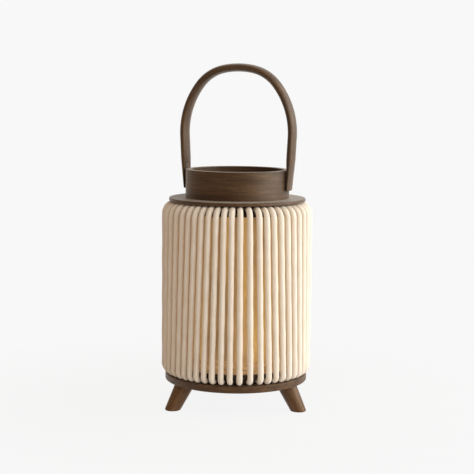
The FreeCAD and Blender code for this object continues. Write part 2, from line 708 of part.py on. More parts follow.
def make_pivot_insert(side):
    """A threaded insert set into the strap's inner face."""
    outward = FreeCAD.Vector(side, 0, 0)
    face = FreeCAD.Vector(side * STRAP_FLAT_X, 0, PIVOT_Z)
    body = rod(INSERT_DIAMETER / 2, face, INSERT_LENGTH, outward)
    return body.cut(rod(PIVOT_SCREW_DIAMETER / 2 + THREAD_CLEARANCE, face, INSERT_LENGTH, outward))


def make_pivot_screw(side):
    """The screw that the strap swings with, its head inside the collar."""
    outward = FreeCAD.Vector(side, 0, 0)
    seat = FreeCAD.Vector(side * HEAD_SEAT_X, 0, PIVOT_Z)
    back = seat - outward * PIVOT_HEAD_HEIGHT
    head = rod(PIVOT_HEAD_DIAMETER / 2, back, PIVOT_HEAD_HEIGHT, outward)
    rim = [edge for edge in head.Edges
           if isinstance(edge.Curve, Part.Circle) and abs(edge.Curve.Center.x - back.x) < 1e-6]
    head = head.makeFillet(PIVOT_HEAD_HEIGHT / 3, rim)
    length = STRAP_FLAT_X + INSERT_LENGTH - HEAD_SEAT_X
    shank = rod(PIVOT_SCREW_DIAMETER / 2, seat, length, outward)
    drive = rod(PIVOT_SCREW_DIAMETER * DRIVE_RATIO / 2, back,
                PIVOT_SCREW_DIAMETER * DRIVE_DEPTH_RATIO, outward)
    return head.fuse(shank).cut(drive).removeSplitter()


def pivot_washer(inner_x, outer_x, side):
    outward = FreeCAD.Vector(side, 0, 0)
    start = FreeCAD.Vector(side * inner_x, 0, PIVOT_Z)
    thickness = outer_x - inner_x
    bore = PIVOT_SCREW_DIAMETER / 2 + PIVOT_RUNNING_CLEARANCE
    return rod(PIVOT_WASHER_DIAMETER / 2, start, thickness, outward).cut(
        rod(bore, start, thickness, outward))


def make_inner_washer(side):
    return pivot_washer(INNER_FLAT_X - PIVOT_WASHER_THICKNESS, INNER_FLAT_X, side)


def make_outer_spacer(side):
    return pivot_washer(OUTER_FLAT_X, STRAP_FLAT_X - PIVOT_AXIAL_PLAY, side)


# ---------------------------------------------------------------- light module

def make_module_housing():
    """The housing: a wide cup on the base disc and a neck down through its hole."""
    body = turned_polygon([
        (NECK_BORE, NECK_LOW),
        (NECK_RADIUS, NECK_LOW),
        (NECK_RADIUS, BASE_TOP),
        (MODULE_RADIUS, BASE_TOP),
        (MODULE_RADIUS, MODULE_TOP),
        (MODULE_BORE, MODULE_TOP),
        (MODULE_BORE, MODULE_FLOOR_TOP),
        (NECK_BORE, MODULE_FLOOR_TOP),
        (NECK_BORE, LEDGE_TOP),
        (LEDGE_RADIUS, LEDGE_TOP),
        (LEDGE_RADIUS, COVER_TOP),
        (NECK_BORE, COVER_TOP),
    ])
    bosses = []
    for angle in BOSS_ANGLES:
        foot = at(BOSS_CIRCLE_RADIUS, angle, BASE_TOP)
        bosses.append(rod(BOSS_RADIUS, foot, MODULE_TOP - BASE_TOP))
    body = body.fuse(bosses)
    tools = []
    for angle in BOSS_ANGLES:
        start = at(BOSS_CIRCLE_RADIUS, angle, MODULE_TOP)
        depth = DOME_SCREW_LENGTH - PLATE_THICKNESS - DOME_FLANGE_THICKNESS
        tools.append(thread_hole(DOME_SCREW_DIAMETER, depth, start, DOWN))
    for angle in MODULE_SCREW_ANGLES:
        start = at(MODULE_SCREW_CIRCLE_RADIUS, angle, BASE_TOP)
        hole = MODULE_SCREW_DIAMETER / 2 + SCREW_HOLE_CLEARANCE
        tools.append(rod(hole, start, MODULE_FLOOR))
    for angle in COVER_SCREW_ANGLES:
        start = at(COVER_SCREW_RADIUS, angle, COVER_TOP)
        depth = COVER_SCREW_LENGTH - COVER_THICKNESS
        tools.append(thread_hole(COVER_SCREW_DIAMETER, depth, start, UP))
    return body.cut(tools).removeSplitter()


def make_bottom_cover():
    """The round cover in the neck, with the button's hole and the charging socket's slot."""
    cover = disc(NECK_BORE - COVER_CLEARANCE, NECK_LOW, COVER_TOP)
    slot = socket_prism(SOCKET_SLOT_CLEARANCE, NECK_LOW - 1, COVER_TOP + 1)
    tools = [disc(BUTTON_RADIUS + BUTTON_CLEARANCE, NECK_LOW - 1, COVER_TOP + 1), slot]
    for angle in COVER_SCREW_ANGLES:
        seat = at(COVER_SCREW_RADIUS, angle, NECK_LOW)
        tools.append(countersunk_hole(COVER_SCREW_DIAMETER, COVER_THICKNESS, seat, UP))
    return cover.cut(tools)


def make_cover_screw(angle):
    seat = at(COVER_SCREW_RADIUS, angle, NECK_LOW)
    return countersunk_screw(COVER_SCREW_DIAMETER, COVER_SCREW_LENGTH, seat, UP)


def make_module_screw(angle):
    seat = at(MODULE_SCREW_CIRCLE_RADIUS, angle, MODULE_FLOOR_TOP)
    return pan_screw(MODULE_SCREW_DIAMETER, MODULE_SCREW_LENGTH, seat, DOWN)


def make_dome_screw(angle):
    seat = at(BOSS_CIRCLE_RADIUS, angle, PLATE_TOP + DOME_FLANGE_THICKNESS)
    return pan_screw(DOME_SCREW_DIAMETER, DOME_SCREW_LENGTH, seat, DOWN)


def dome_screw_holes(low, thickness):
    hole = DOME_SCREW_DIAMETER / 2 + SCREW_HOLE_CLEARANCE
    return [rod(hole, at(BOSS_CIRCLE_RADIUS, angle, low), thickness) for angle in BOSS_ANGLES]


def make_led_plate():
    """The aluminium plate that closes the housing and carries the light board."""
    plate = disc(MODULE_RADIUS, MODULE_TOP, PLATE_TOP)
    tools = dome_screw_holes(MODULE_TOP, PLATE_THICKNESS)
    lead_hole = LEAD_DIAMETER / 2 + LEAD_HOLE_CLEARANCE
    lead_end = LED_LEAD_ROUTE[-1]
    tools.append(rod(lead_hole, FreeCAD.Vector(lead_end.x, lead_end.y, MODULE_TOP), PLATE_THICKNESS))
    return plate.cut(tools)


def make_led_board():
    return ring(LED_BOARD_RADIUS, LED_BOARD_BORE_RADIUS, PLATE_TOP, LED_BOARD_TOP)


def make_led(angle):
    corner = FreeCAD.Vector(LED_CIRCLE_RADIUS - LED_SIZE / 2, -LED_SIZE / 2, LED_BOARD_TOP)
    return turn_about_axis(Part.makeBox(LED_SIZE, LED_SIZE, LED_HEIGHT, corner), angle)


def make_light_dome():
    """The frosted cover over the light board: a straight wall under a half-round cap."""
    flange_top = PLATE_TOP + DOME_FLANGE_THICKNESS
    spring_z = PLATE_TOP + DOME_STRAIGHT_HEIGHT
    dome = turned([
        line((DOME_BORE, PLATE_TOP), (MODULE_RADIUS, PLATE_TOP)),
        line((MODULE_RADIUS, PLATE_TOP), (MODULE_RADIUS, flange_top)),
        line((MODULE_RADIUS, flange_top), (DOME_RADIUS, flange_top)),
        line((DOME_RADIUS, flange_top), (DOME_RADIUS, spring_z)),
        arc((0, spring_z), DOME_RADIUS, 0, 90),
        line((0, spring_z + DOME_RADIUS), (0, spring_z + DOME_BORE)),
        arc((0, spring_z), DOME_BORE, 90, 0),
        line((DOME_BORE, spring_z), (DOME_BORE, PLATE_TOP)),
    ])
    return dome.cut(dome_screw_holes(PLATE_TOP, DOME_FLANGE_THICKNESS))


def make_driver_board():
    """The round circuit board that rests on the neck's ledge."""
    return disc(NECK_BORE - BOARD_CLEARANCE, LEDGE_TOP, BOARD_TOP)


# ---------------------------------------------------------------- battery

def make_battery_cradle():
    """The tray that carries the cell across the housing."""
    reach = MODULE_BORE - BOARD_CLEARANCE
    tray = disc(reach, CRADLE_LOW, CRADLE_LOW + CRADLE_SIDE_HEIGHT)
    strip = Part.makeBox(2 * reach, CRADLE_WIDTH, MODULE_TOP - MODULE_FLOOR_TOP,
                         FreeCAD.Vector(-reach, -CRADLE_WIDTH / 2, MODULE_FLOOR_TOP))
    feet = ring(reach, NECK_BORE + BOARD_CLEARANCE, MODULE_FLOOR_TOP, CRADLE_LOW)
    trough = rod(CELL_DIAMETER / 2 + CELL_CLEARANCE, FreeCAD.Vector(-CELL_ROOM / 2, 0, CELL_Z),
                 CELL_ROOM, FreeCAD.Vector(1, 0, 0))
    tools = [trough]
    for side in (-1, 1):
        tools.append(contact_box(side, CELL_CLEARANCE))
    return tray.fuse(feet).common(strip).cut(tools).removeSplitter()


def make_battery_cell():
    """A round cell on its side, with its raised terminal."""
    along = FreeCAD.Vector(1, 0, 0)
    body = rod(CELL_DIAMETER / 2, FreeCAD.Vector(-CELL_LENGTH / 2, 0, CELL_Z),
               CELL_LENGTH - CELL_TERMINAL_HEIGHT, along)
    terminal = rod(CELL_TERMINAL_RADIUS, FreeCAD.Vector(0, 0, CELL_Z), CELL_LENGTH / 2, along)
    return body.fuse(terminal).removeSplitter()


def contact_box(side, grow):
    """The upright box of a contact plate at one end of the cell, grown sideways."""
    thickness = CONTACT_THICKNESS + 2 * grow
    width = CONTACT_WIDTH + 2 * grow
    middle = side * (CELL_LENGTH + CONTACT_THICKNESS) / 2
    return Part.makeBox(thickness, width, CONTACT_HEIGHT,
                        FreeCAD.Vector(middle - thickness / 2, -width / 2, CRADLE_LOW + CRADLE_FLOOR))


def make_cell_contact(side):
    """A sprung contact plate against one end of the cell, standing in the cradle."""
    return contact_box(side, 0.0)


# ---------------------------------------------------------------- button, switch, socket

def make_button_cap():
    """The push button: a round cap with a flange that stops it inside the cover."""
    face = NECK_LOW - BUTTON_PROUD
    cap = disc(BUTTON_RADIUS, face, BUTTON_FLANGE_TOP)
    cap = cap.makeFillet(BUTTON_EDGE_ROUNDING, circle_edges(cap, BUTTON_RADIUS, face))
    return cap.fuse(disc(BUTTON_FLANGE_RADIUS, BUTTON_FLANGE_LOW, BUTTON_FLANGE_TOP)).removeSplitter()


def make_switch_plunger():
    """The pin between the button and the switch; it moves with the button."""
    return disc(PLUNGER_RADIUS, BUTTON_FLANGE_TOP, SWITCH_LOW + BUTTON_TRAVEL)


def make_switch_body():
    """The square switch under the driver board, with the plunger's bore."""
    half = SWITCH_SIZE / 2
    body = Part.makeBox(SWITCH_SIZE, SWITCH_SIZE, SWITCH_HEIGHT,
                        FreeCAD.Vector(-half, -half, SWITCH_LOW))
    bore_top = SWITCH_LOW + 2 * BUTTON_TRAVEL + PLUNGER_CLEARANCE
    return body.cut(disc(PLUNGER_RADIUS + PLUNGER_CLEARANCE, SWITCH_LOW, bore_top))


def arc_between(start, corner, end):
    """The arc that leaves start towards the corner and reaches end from it, both equally far."""
    chord_middle = (start + end) / 2
    half_chord = (end - start).Length / 2
    to_corner = corner - chord_middle
    rise = half_chord * ((corner - start).Length - half_chord) / to_corner.Length
    return Part.Arc(start, chord_middle + to_corner * (rise / to_corner.Length), end).toShape()


def coil_edges(radius, low, high, turns):
    """A rising coil about Z as a chain of tangent arcs, two for each quarter turn."""
    steps = round(turns * 4)
    climb = (high - low) / (turns * 2 * math.pi * radius)
    edges = []
    for step in range(steps):
        ends = []
        for place in (step, step + 1):
            angle = 90.0 * place
            point = at(radius, angle, low + (high - low) * place / steps)
            tangent = at(1.0, angle + 90.0, climb)
            tangent.normalize()
            ends.append((point, tangent))
        (start, leaving), (end, arriving) = ends
        span = end - start
        both = leaving + arriving
        closeness = 2 * leaving.dot(arriving) - 2
        along = span.dot(both)
        reach = (along - math.sqrt(along ** 2 - closeness * span.dot(span))) / closeness
        first_corner = start + leaving * reach
        last_corner = end - arriving * reach
        middle = (first_corner + last_corner) / 2
        edges.append(arc_between(start, first_corner, middle))
        edges.append(arc_between(middle, last_corner, end))
    return edges


def make_button_spring():
    """The coil spring round the switch, between the button's flange and the board."""
    low = BUTTON_FLANGE_TOP + SPRING_END_GAP + SPRING_WIRE / 2
    high = LEDGE_TOP - SPRING_END_GAP - SPRING_WIRE / 2
    edges = coil_edges(SPRING_MEAN_RADIUS, low, high, SPRING_TURNS)
    start = edges[0].valueAt(edges[0].FirstParameter)
    heading = edges[0].tangentAt(edges[0].FirstParameter)
    print("button spring: least gap between turns %.2f mm" % ((high - low) / SPRING_TURNS - SPRING_WIRE))
    return swept(edges, start, heading, SPRING_WIRE / 2)


def socket_prism(grow, low, high):
    """An upright prism with the charging socket's long round-ended outline, grown all round."""
    radius = SOCKET_DEPTH / 2 + grow
    half_flat = SOCKET_WIDTH / 2 - SOCKET_DEPTH / 2
    height = high - low
    ends = []
    for side in (-1, 1):
        ends.append(rod(radius, FreeCAD.Vector(side * half_flat, SOCKET_OFFSET, low), height))
    middle = Part.makeBox(2 * half_flat, 2 * radius, height,
                          FreeCAD.Vector(-half_flat, SOCKET_OFFSET - radius, low))
    return middle.fuse(ends).removeSplitter()


def make_charging_socket():
    """The socket's metal shell, open at the cover and closed at the board."""
    inside = socket_prism(-SOCKET_WALL, SOCKET_MOUTH - 1, LEDGE_TOP - SOCKET_BACK)
    return socket_prism(0, SOCKET_MOUTH, LEDGE_TOP).cut(inside)


def make_socket_tongue():
    low = SOCKET_MOUTH + TONGUE_RECESS
    return Part.makeBox(TONGUE_WIDTH, TONGUE_THICKNESS, LEDGE_TOP - SOCKET_BACK - low,
                        FreeCAD.Vector(-TONGUE_WIDTH / 2, SOCKET_OFFSET - TONGUE_THICKNESS / 2, low))


# ---------------------------------------------------------------- inner leads

def make_lead(name, route):
    """A round lead along straight runs joined by tangent arcs, as wide as the runs allow."""
    edges = []
    begin = route[0]
    radii = []
    for before, corner, after in zip(route, route[1:], route[2:]):
        back = before - corner
        ahead = after - corner
        shorter = min(back.Length, ahead.Length)
        cut = LEAD_BEND_SHARE * shorter
        half_turn = (math.pi - back.getAngle(ahead)) / 2
        radii.append(cut / math.tan(half_turn))
        back.normalize()
        ahead.normalize()
        first = corner + back * cut
        last = corner + ahead * cut
        bisector = back + ahead
        bisector.normalize()
        to_centre = radii[-1] / math.cos(half_turn)
        middle = corner + bisector * (to_centre - radii[-1])
        edges.append(Part.LineSegment(begin, first).toShape())
        edges.append(Part.Arc(first, middle, last).toShape())
        begin = last
    edges.append(Part.LineSegment(begin, route[-1]).toShape())
    print("%s: bend radii %s mm" % (name, ", ".join("%.1f" % radius for radius in radii)))
    return swept(edges, route[0], route[1] - route[0], LEAD_DIAMETER / 2)


# ---------------------------------------------------------------- assembly

LEG_ANGLES = angles(LEG_COUNT, LEG_FIRST_ANGLE)
TIE_ROD_ANGLES = angles(TIE_ROD_COUNT, LEG_FIRST_ANGLE + 180.0 / LEG_COUNT)
COLLAR_SCREW_ANGLES = angles(COLLAR_SCREW_COUNT, COLLAR_SCREW_FIRST_ANGLE)
MODULE_SCREW_ANGLES = angles(MODULE_FIXING_COUNT, MODULE_SCREW_FIRST_ANGLE)
BOSS_ANGLES = angles(MODULE_FIXING_COUNT, BOSS_FIRST_ANGLE)
COVER_SCREW_ANGLES = angles(MODULE_FIXING_COUNT, COVER_SCREW_FIRST_ANGLE)
LEAD_SIDE = CRADLE_WIDTH / 2 + LEAD_DIAMETER
LED_LEAD_ROUTE = [
    FreeCAD.Vector(-6, -LEAD_SIDE, BOARD_TOP + LEAD_END_GAP),
    FreeCAD.Vector(-6, -LEAD_SIDE, BOARD_TOP + 7),
    FreeCAD.Vector(-1, -LEAD_SIDE - 3, BOARD_TOP + 15),
    FreeCAD.Vector(-1, -LEAD_SIDE - 3, PLATE_TOP - LEAD_END_GAP),
]
CELL_LEAD_ROUTE = [
    FreeCAD.Vector(8, LEAD_SIDE, BOARD_TOP + LEAD_END_GAP),
    FreeCAD.Vector(8, LEAD_SIDE, BOARD_TOP + 6),
    FreeCAD.Vector(20, LEAD_SIDE + 3, CELL_Z),
    FreeCAD.Vector(20, CELL_DIAMETER / 2 + LEAD_END_GAP, CELL_Z),
]


def group(maker, places):
    """Identical pieces as separate solids of one node."""
    return Part.makeCompound([maker(place) for place in places])


def build_parts():
    sides = (-1, 1)
    parts = {
        "base_disc": make_base_disc(),
        "leg_studs": group(make_leg_stud, LEG_ANGLES),
        "lower_hoop": make_lower_hoop(),
        "seat_ring": make_seat_ring(),
        "diffuser": make_diffuser(),
        "upper_hoop": make_upper_hoop(),
        "tie_rods": group(make_tie_rod, TIE_ROD_ANGLES),
        "lower_tie_screws": group(make_lower_tie_screw, TIE_ROD_ANGLES),
        "upper_tie_screws": group(make_upper_tie_screw, TIE_ROD_ANGLES),
        "top_disc": make_top_disc(),
        "collar": make_collar(),
        "collar_screws": group(lambda angle: countersunk_screw(
            COLLAR_SCREW_DIAMETER, COLLAR_SCREW_LENGTH, collar_screw_seat(angle), UP),
            COLLAR_SCREW_ANGLES),
        "handle_strap": make_handle_strap(),
        "pivot_inserts": group(make_pivot_insert, sides),
        "pivot_screws": group(make_pivot_screw, sides),
        "pivot_washers": group(make_inner_washer, sides),
        "pivot_spacers": group(make_outer_spacer, sides),
        "module_housing": make_module_housing(),
        "module_screws": group(make_module_screw, MODULE_SCREW_ANGLES),
        "bottom_cover": make_bottom_cover(),
        "cover_screws": group(make_cover_screw, COVER_SCREW_ANGLES),
        "led_plate": make_led_plate(),
        "led_board": make_led_board(),
        "leds": group(make_led, angles(LED_COUNT, 0.0)),
        "light_dome": make_light_dome(),
        "dome_screws": group(make_dome_screw, BOSS_ANGLES),
        "driver_board": make_driver_board(),
        "battery_cradle": make_battery_cradle(),
        "battery_cell": make_battery_cell(),
        "cell_contacts": group(make_cell_contact, sides),
        "button_cap": make_button_cap(),
        "switch_plunger": make_switch_plunger(),
        "switch_body": make_switch_body(),
        "button_spring": make_button_spring(),
        "charging_socket": make_charging_socket(),
        "socket_tongue": make_socket_tongue(),
        "led_lead": make_lead("led_lead", LED_LEAD_ROUTE),
        "cell_lead": make_lead("cell_lead", CELL_LEAD_ROUTE),
    }
    for number, angle in enumerate(LEG_ANGLES, 1):
        parts["leg_%d" % number] = make_leg(angle)
    parts.update(make_strand_groups())
    return parts


def main():
    os.makedirs("parts", exist_ok=True)
    for name, shape in build_parts().items():
        if not shape.isValid():
            raise ValueError("%s is not a valid shape" % name)
        shape.exportStep("parts/%s.step" % name)
        print("%-18s %3d solids %12.1f mm3" % (name, len(shape.Solids), shape.Volume))


main()
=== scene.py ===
import math
from functools import partial

import bmesh
import bpy
from mathutils import Matrix, Vector


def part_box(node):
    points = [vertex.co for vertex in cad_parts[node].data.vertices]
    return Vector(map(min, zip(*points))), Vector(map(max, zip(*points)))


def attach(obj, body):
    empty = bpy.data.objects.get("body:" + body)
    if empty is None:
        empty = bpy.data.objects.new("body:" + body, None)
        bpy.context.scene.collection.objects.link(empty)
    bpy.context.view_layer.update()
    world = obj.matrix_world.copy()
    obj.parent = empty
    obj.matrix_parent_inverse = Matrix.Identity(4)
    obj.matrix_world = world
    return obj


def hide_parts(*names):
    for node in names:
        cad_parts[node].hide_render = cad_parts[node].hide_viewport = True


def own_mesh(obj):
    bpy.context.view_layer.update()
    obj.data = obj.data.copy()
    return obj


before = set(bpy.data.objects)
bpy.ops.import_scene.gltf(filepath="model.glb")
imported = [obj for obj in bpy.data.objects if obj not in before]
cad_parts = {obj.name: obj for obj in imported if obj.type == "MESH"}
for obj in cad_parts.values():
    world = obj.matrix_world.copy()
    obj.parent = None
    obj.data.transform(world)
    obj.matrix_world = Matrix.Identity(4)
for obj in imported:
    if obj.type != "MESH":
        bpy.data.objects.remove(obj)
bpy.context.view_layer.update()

# ---------------------------------------------------------------- sizes, in metres

# camera, fitted to the photograph's rims and handle
IMAGE_PIXELS = 474
FOCAL_PIXELS = 1241.6
SENSOR_WIDTH = 36.0
CAMERA_TURN = 18.0
CAMERA_DISTANCE = 1.3164
CAMERA_HEIGHT = 0.3356
CAMERA_TILT = -6.76
CAMERA_ROLL = 0.51

# rope strands
STRAND_GROUPS = ("rope_strands_1", "rope_strands_2", "rope_strands_3", "rope_strands_4")
STRAND_COUNT = 52
FIRST_STRAND_ANGLE = 0.3
ROPE_RADIUS = 0.0032
DRUM_RADIUS = 0.080
ROPE_LOW_BEND = 0.0054
ROPE_HIGH_BEND = 0.0098
ROPE_LOW_TAIL = 0.0034
ROPE_HIGH_TAIL = 0.0015
ROPE_LOW_GAP = 0.0001
# the upper ends reach the top disc, as in the photograph; the frame's own end 0.9 mm lower
ROPE_HIGH_GAP = 0.0001
ROPE_SIDES = 20
ROPE_STEP = 0.0016
LOW_BEND_STEPS = 10
HIGH_BEND_STEPS = 12
# the rope's thickness waves by this much, at this rate per metre, and starts anew on each strand
ROPE_SWELL = 0.00012
SWELL_RATE = 160.0
SWELL_OFFSET = 2.4
BRAID_LENGTH = 0.0034
BRAID_YARNS = 7
# where the strands were set by hand off their even spacing, as in the photograph:
# (degrees to the camera's right, width in degrees, shift in degrees)
HAND_SHIFTS = ((-54.0, 24.0, 3.7), (0.0, 9.0, -0.6), (18.0, 9.0, 1.3), (56.0, 16.0, -0.8))
# how they lean: the shift in degrees of a strand 45 degrees to the camera's right, at this
# height over the drum's middle; the lean fades out towards both sides and is nil at the back
HAND_LEAN = -1.35
LEAN_HEIGHT = 0.052

# wood grain
HANDLE_ARCH_HEIGHT = 0.2905
HANDLE_ARCH_RADIUS = 0.060
HOOP_GRAIN_RADIUS = 0.07
COLLAR_GRAIN_RADIUS = 0.055
BASE_GRAIN = (1, 0.2, 0)
TOP_GRAIN = (1, -0.3, 0)
LEG_NODES = ("leg_1", "leg_2", "leg_3")
END_TOLERANCE = 0.00001

# floor: the lamp's shadow takes a share of its look, and fades out from the core to the radius
FLOOR_SIZE = 1.4
FLOOR_GREY = 0.80
SHADOW_CORE = 0.135
SHADOW_RADIUS = 0.45
SHADOW_SHARE = 0.06

# backdrop: gloss and glass see it on one side only, where a direction's cosine to its middle
# lies over the first limit, and in full over the second
BACKGROUND = 0.939
BACKDROP_TURN = 130.0
BACKDROP_LIMITS = (-0.3, 0.5)

# light: each softbox has a name, degrees to the camera's right, distance, height, width,
# tallness and power in watts
AMBIENT_COLOUR = (1.0, 0.81, 0.65)
AMBIENT_STRENGTH = 0.47
DAYLIGHT = (0.93, 0.99, 1.0)
LIGHT_AIM = (0.0, 0.0, 0.16)
SOFTBOXES = (
    ("key", 70.0, 1.2, 0.35, 1.3, 0.8, 12.5),
    ("kicker", 105.0, 1.1, 0.75, 0.8, 0.8, 5.0),
    ("front_fill", 20.0, 2.0, 0.9, 1.2, 0.8, 5.0),
    ("top", 40.0, 0.8, 1.5, 0.8, 0.8, 3.0),
)


# ---------------------------------------------------------------- node helpers

class Tree:
    """A material's node tree with short calls for the nodes used here."""

    def __init__(self, name):
        self.material = bpy.data.materials.new(name)
        self.material.use_nodes = True
        self.nodes = self.material.node_tree.nodes
        self.links = self.material.node_tree.links
        self.shader = self.nodes["Principled BSDF"]

    def add(self, kind, **values):
        node = self.nodes.new(kind)
        for key, value in values.items():
            setattr(node, key, value)
        return node

    def feed(self, socket, value):
        if isinstance(value, bpy.types.NodeSocket):
            self.links.new(value, socket)
        else:
            socket.default_value = value

    def set_shader(self, values):
        """Feeds the shader's inputs, by their names."""
        for name, value in values.items():
            self.feed(self.shader.inputs[name], value)

    def math(self, operation, first, second=0.0):
        node = self.add("ShaderNodeMath", operation=operation)
        self.feed(node.inputs[0], first)
        self.feed(node.inputs[1], second)
        return node.outputs[0]

    def place(self):
        """The point's x, y and z in the lamp's own frame."""
        coordinates = self.add("ShaderNodeTexCoord")
        split = self.add("ShaderNodeSeparateXYZ")
        self.links.new(coordinates.outputs["Object"], split.inputs[0])
        return split.outputs[0], split.outputs[1], split.outputs[2]

    def join(self, x, y, z):
        node = self.add("ShaderNodeCombineXYZ")
        for socket, value in zip(node.inputs, (x, y, z)):
            self.feed(socket, value)
        return node.outputs[0]

    def noise(self, vector, scale, detail, roughness, distortion=0.0):
        node = self.add("ShaderNodeTexNoise")
        self.links.new(vector, node.inputs["Vector"])
        node.inputs["Scale"].default_value = scale
        node.inputs["Detail"].default_value = detail
        node.inputs["Roughness"].default_value = roughness
        node.inputs["Distortion"].default_value = distortion
        return node.outputs[0]

    def ramp(self, factor, *stops):
        """A colour ramp from (position, colour) stops; a number is a grey."""
        node = self.add("ShaderNodeValToRGB")
        elements = node.color_ramp.elements
        while len(elements) < len(stops):
            elements.new(0.5)
        for element, (position, colour) in zip(elements, stops):
            element.position = position
            grey = isinstance(colour, (int, float))
            element.color = (colour, colour, colour, 1) if grey else (*colour, 1)
        self.links.new(factor, node.inputs[0])
        return node.outputs[0]

    def multiply_colours(self, factor, first, second):
        node = self.add("ShaderNodeMix", data_type="RGBA", blend_type="MULTIPLY")
        for index, value in ((0, factor), (6, first), (7, second)):
            self.feed(node.inputs[index], value)
        return node.outputs[2]

    def sum_of_shares(self, first, first_share, second, second_share):
        return self.math("ADD", self.math("MULTIPLY", first, first_share),
                         self.math("MULTIPLY", second, second_share))

    def bump(self, height, distance, strength):
        node = self.add("ShaderNodeBump")
        node.inputs["Strength"].default_value = strength
        node.inputs["Distance"].default_value = distance
        self.links.new(height, node.inputs["Height"])
        self.links.new(node.outputs[0], self.shader.inputs["Normal"])


# ---------------------------------------------------------------- wood

WALNUT_DARK = (0.018, 0.007, 0.002)
WALNUT_MIDDLE = (0.056, 0.025, 0.009)
WALNUT_LIGHT = (0.126, 0.064, 0.027)


def straight_grain(tree, direction):
    """Grain that runs along a fixed direction: (along, across, across)."""
    axis = Vector(direction).normalized()
    side = axis.orthogonal().normalized()
    other = axis.cross(side)
    coordinates = tree.add("ShaderNodeTexCoord")
    parts = []
    for vector in (axis, side, other):
        dot = tree.add("ShaderNodeVectorMath", operation="DOT_PRODUCT")
        tree.links.new(coordinates.outputs["Object"], dot.inputs[0])
        dot.inputs[1].default_value = vector
        parts.append(dot.outputs["Value"])
    return parts


def round_grain(tree, radius):
    """Grain that runs round the lamp's axis, as in a bent or turned ring."""
    x, y, z = tree.place()
    angle = tree.math("ARCTAN2", y, x)
    squares = tree.math("ADD", tree.math("MULTIPLY", x, x), tree.math("MULTIPLY", y, y))
    return [tree.math("MULTIPLY", angle, radius), z, tree.math("SQRT", squares)]


def arch_grain(tree):
    """Grain that follows the bent handle: up its arms and round its arch."""
    x, y, z = tree.place()
    above = tree.math("MAXIMUM", tree.math("SUBTRACT", z, HANDLE_ARCH_HEIGHT), 0.0)
    squares = tree.math("ADD", tree.math("MULTIPLY", x, x), tree.math("MULTIPLY", above, above))
    turn = tree.math("ARCTAN2", above, x)
    below = tree.math("MINIMUM", z, HANDLE_ARCH_HEIGHT)
    along = tree.math("ADD", below, tree.math("MULTIPLY", turn, HANDLE_ARCH_RADIUS))
    return [along, y, tree.math("SQRT", squares)]


def stained_wood(name, grain, light=1.0, sheen=0.35):
    """Dark stained walnut under a satin finish: bands, streaks and open pores along the grain."""
    tree = Tree(name)
    along, across, depth = grain(tree)
    vector = tree.join(tree.math("MULTIPLY", along, 0.07), across, depth)
    pore_vector = tree.join(tree.math("MULTIPLY", along, 0.13), across, depth)
    bands = tree.noise(vector, scale=95.0, detail=3.0, roughness=0.6, distortion=0.6)
    streaks = tree.noise(vector, scale=420.0, detail=4.0, roughness=0.65, distortion=0.2)
    pores = tree.noise(pore_vector, scale=1500.0, detail=2.0, roughness=0.5)
    tone = tree.sum_of_shares(bands, 0.55, streaks, 0.45)
    dark, middle, pale = (tuple(channel * light for channel in colour)
                          for colour in (WALNUT_DARK, WALNUT_MIDDLE, WALNUT_LIGHT))
    stain = tree.ramp(tone, (0.30, dark), (0.50, middle), (0.72, pale))
    open_pores = tree.ramp(pores, (0.30, 0.45), (0.44, 1.0))
    tree.set_shader({
        "Base Color": tree.multiply_colours(0.75, stain, open_pores),
        "Roughness": tree.ramp(streaks, (0.3, 0.50), (0.7, 0.38)),
        "Specular IOR Level": 0.45,
        "Specular Tint": (1.0, 0.80, 0.62, 1),
        "Sheen Weight": sheen,
        "Sheen Roughness": 0.42,
        "Sheen Tint": (1.0, 0.88, 0.76, 1),
    })
    tree.bump(tree.sum_of_shares(streaks, 0.6, open_pores, 0.4), distance=0.00012, strength=0.6)
    return tree.material


def pale_wood():
    """The seat ring's pale, flecked wood, turned round the axis, with a painted glow for the
    light that falls on it from inside.
    """
    tree = Tree("pale_wood")
    along, across, depth = round_grain(tree, DRUM_RADIUS)
    band_vector = tree.join(tree.math("MULTIPLY", along, 0.14), across, depth)
    fleck_vector = tree.join(tree.math("MULTIPLY", along, 0.5), across, depth)
    bands = tree.noise(band_vector, scale=160.0, detail=3.0, roughness=0.6, distortion=0.5)
    flecks = tree.noise(fleck_vector, scale=620.0, detail=3.0, roughness=0.6)
    colour = tree.ramp(tree.sum_of_shares(bands, 0.5, flecks, 0.5), (0.34, (0.36, 0.20, 0.075)),
                       (0.52, (0.62, 0.40, 0.19)), (0.68, (0.80, 0.58, 0.33)))
    tree.set_shader({
        "Base Color": colour,
        # painted light: the wood's own colours glow a little, as if lit from inside
        "Emission Color": colour,
        "Emission Strength": 0.24,
        "Roughness": 0.5,
    })
    tree.bump(flecks, distance=0.0001, strength=0.5)
    return tree.material


# ---------------------------------------------------------------- rope and diffuser

